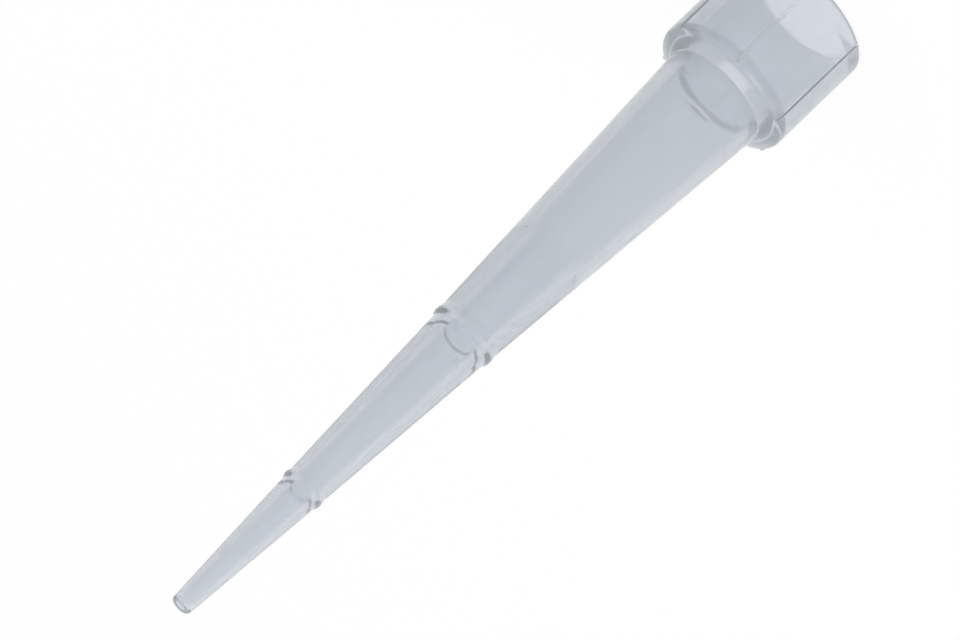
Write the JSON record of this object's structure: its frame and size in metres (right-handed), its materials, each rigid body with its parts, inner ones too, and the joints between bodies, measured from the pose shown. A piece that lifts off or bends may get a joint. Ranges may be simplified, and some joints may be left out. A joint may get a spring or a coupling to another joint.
{
  "type": "pipette tip",
  "caption": "Clear disposable tip for an air displacement pipette: slender stepped cone with graduation beads, a wide ribbed collar with a nozzle socket, and a fine orifice.",
  "frame": {"origin": "centre of the flat rim of the collar, which the tip stands on", "axes": "+Z along the axis from the collar's rim to the small end; +X and +Y are free, with one collar rib 7.5 degrees from -Y towards +X"},
  "size_m": [0.0084, 0.0086, 0.05],
  "materials": {
    "clear_polypropylene": "moulded natural polypropylene, glossy and nearly clear with a faint milky blue-grey haze"
  },
  "bodies": {
    "root": {"pipette_tip": "clear_polypropylene"}
  },
  "joints": []
}
